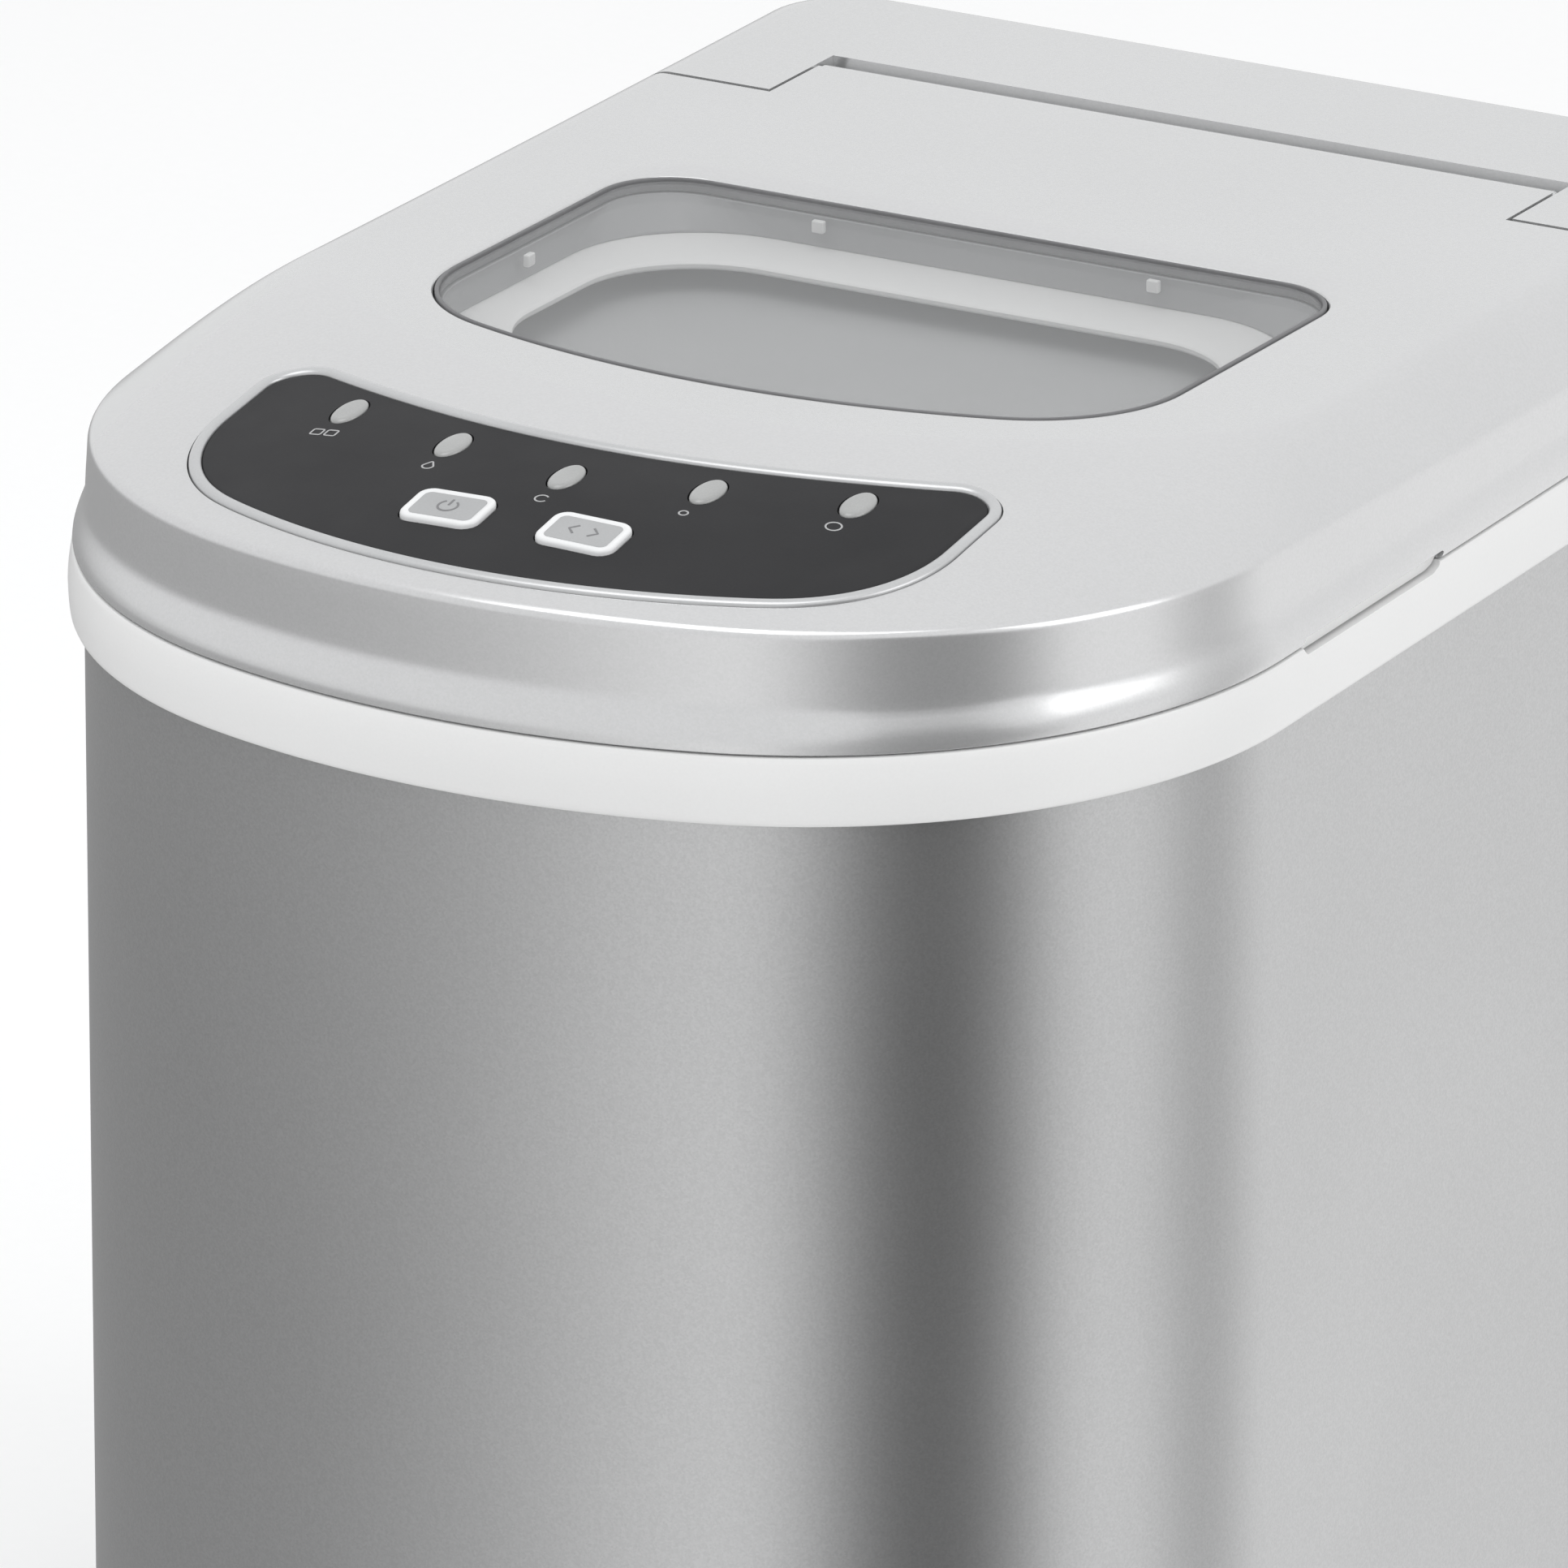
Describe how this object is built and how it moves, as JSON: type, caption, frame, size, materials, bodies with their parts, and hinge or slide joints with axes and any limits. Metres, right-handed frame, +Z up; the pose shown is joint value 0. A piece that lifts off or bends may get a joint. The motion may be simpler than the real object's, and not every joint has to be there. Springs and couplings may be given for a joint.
{
  "type": "ice maker",
  "caption": "Countertop bullet-ice maker with a hinged windowed lid, crescent control panel, round-cornered silver body, basket, scoop and full cooling works.",
  "frame": {"origin": "middle of the footprint, on the surface the feet stand on", "axes": "+X to the right seen from the front, +Y from front to back, +Z up"},
  "size_m": [0.243, 0.352, 0.324],
  "materials": {
    "silver_top": "silver metallic paint on moulded plastic, satin",
    "body_silver": "silver paint on steel, satin",
    "pale_plastic": "light grey moulding, soft gloss",
    "grey_plastic": "mid grey moulding",
    "dark_plastic": "dark grey moulding",
    "black_rubber": "black, matt",
    "clear_plastic": "clear moulded plastic",
    "lens": "milky lens",
    "steel": "plain",
    "copper": "drawn copper tube",
    "black_metal": "black paint",
    "aluminium": "bare fins",
    "board": "printed board",
    "foam": "rigid foam"
  },
  "bodies": {
    "body": {"rear_top_cover": "silver_top", "hinge_pin_left": "steel", "hinge_pin_right": "steel", "collar_band": "pale_plastic", "body_wrap": "body_silver", "base_tray": "grey_plastic", "foot_front_left": "black_rubber", "foot_front_right": "black_rubber", "foot_rear_left": "black_rubber", "foot_rear_right": "black_rubber", "rear_panel": "grey_plastic", "rear_screw_1": "steel", "rear_screw_2": "steel", "rear_screw_3": "steel", "rear_screw_4": "steel", "fan_guard": "grey_plastic", "cord_gland": "black_rubber", "tank_liner": "pale_plastic", "tank_insulation": "foam", "drain_spout": "pale_plastic", "basket_rack": "pale_plastic", "evaporator": "steel", "evaporator_frame": "pale_plastic", "tray_gear_motor": "dark_plastic", "ice_sensor_left": "dark_plastic", "ice_sensor_right": "dark_plastic", "inner_cover": "grey_plastic", "compressor": "black_metal", "condenser": "aluminium", "fan_shroud": "dark_plastic", "fan_motor": "black_metal", "water_pump": "dark_plastic", "pump_hose": "clear_plastic", "filter_drier": "copper", "discharge_tube": "copper", "suction_tube": "copper", "capillary_tube": "copper", "power_board": "board"},
    "lid": {"lid_shell": "silver_top", "window_seal": "black_rubber", "window_pane": "clear_plastic", "lid_inner_panel": "pale_plastic", "panel_bezel": "grey_plastic", "panel_overlay": "dark_plastic", "display_board": "board", "led_lens_ice_full": "lens", "led_lens_add_water": "lens", "led_lens_running": "lens", "led_lens_size_small": "lens", "led_lens_size_large": "lens"},
    "power_button": {"button_power": "grey_plastic"},
    "select_button": {"button_select": "grey_plastic"},
    "tray": {"water_tray": "grey_plastic"},
    "pusher": {"ice_pusher": "pale_plastic"},
    "basket": {"ice_basket": "clear_plastic"},
    "scoop": {"ice_scoop": "clear_plastic"},
    "cap": {"drain_cap": "black_rubber"},
    "fan": {"fan_impeller": "dark_plastic"}
  },
  "joints": [
    {"name": "lid_hinge", "type": "hinge", "parent": "body", "child": "lid", "pos_m": [0, 0.1153, 0.31255], "axis": [-1, 0, 0], "range_deg": [0, 95]},
    {"name": "button_power_press", "type": "slide", "parent": "lid", "child": "power_button", "axis": [0, 0, -1], "range_m": [0, 0.0008], "stiffness_N_per_m": 400},
    {"name": "button_select_press", "type": "slide", "parent": "lid", "child": "select_button", "axis": [0, 0, -1], "range_m": [0, 0.0008], "stiffness_N_per_m": 400},
    {"name": "water_tray_tilt", "type": "hinge", "parent": "body", "child": "tray", "pos_m": [0, -0.005, 0.236], "axis": [1, 0, 0], "range_deg": [0, 70]},
    {"name": "ice_pusher_swing", "type": "hinge", "parent": "body", "child": "pusher", "pos_m": [0, -0.005, 0.236], "axis": [1, 0, 0], "range_deg": [-98, 0]},
    {"name": "basket_lift", "type": "slide", "parent": "body", "child": "basket", "axis": [0, 0, 1], "range_m": [0, 0.045]},
    {"name": "scoop_lift", "type": "slide", "parent": "basket", "child": "scoop", "axis": [0, 0, 1], "range_m": [0, 0.02]},
    {"name": "drain_cap_pull", "type": "slide", "parent": "body", "child": "cap", "axis": [-1, 0, 0], "range_m": [0, 0.015]},
    {"name": "fan_spin", "type": "hinge", "parent": "body", "child": "fan", "pos_m": [-0.058, 0.146, 0.096], "axis": [0, 1, 0], "continuous": true}
  ],
  "couplings": [
    {"joint": "ice_pusher_swing", "follows": "water_tray_tilt", "ratio": -1.4}
  ]
}
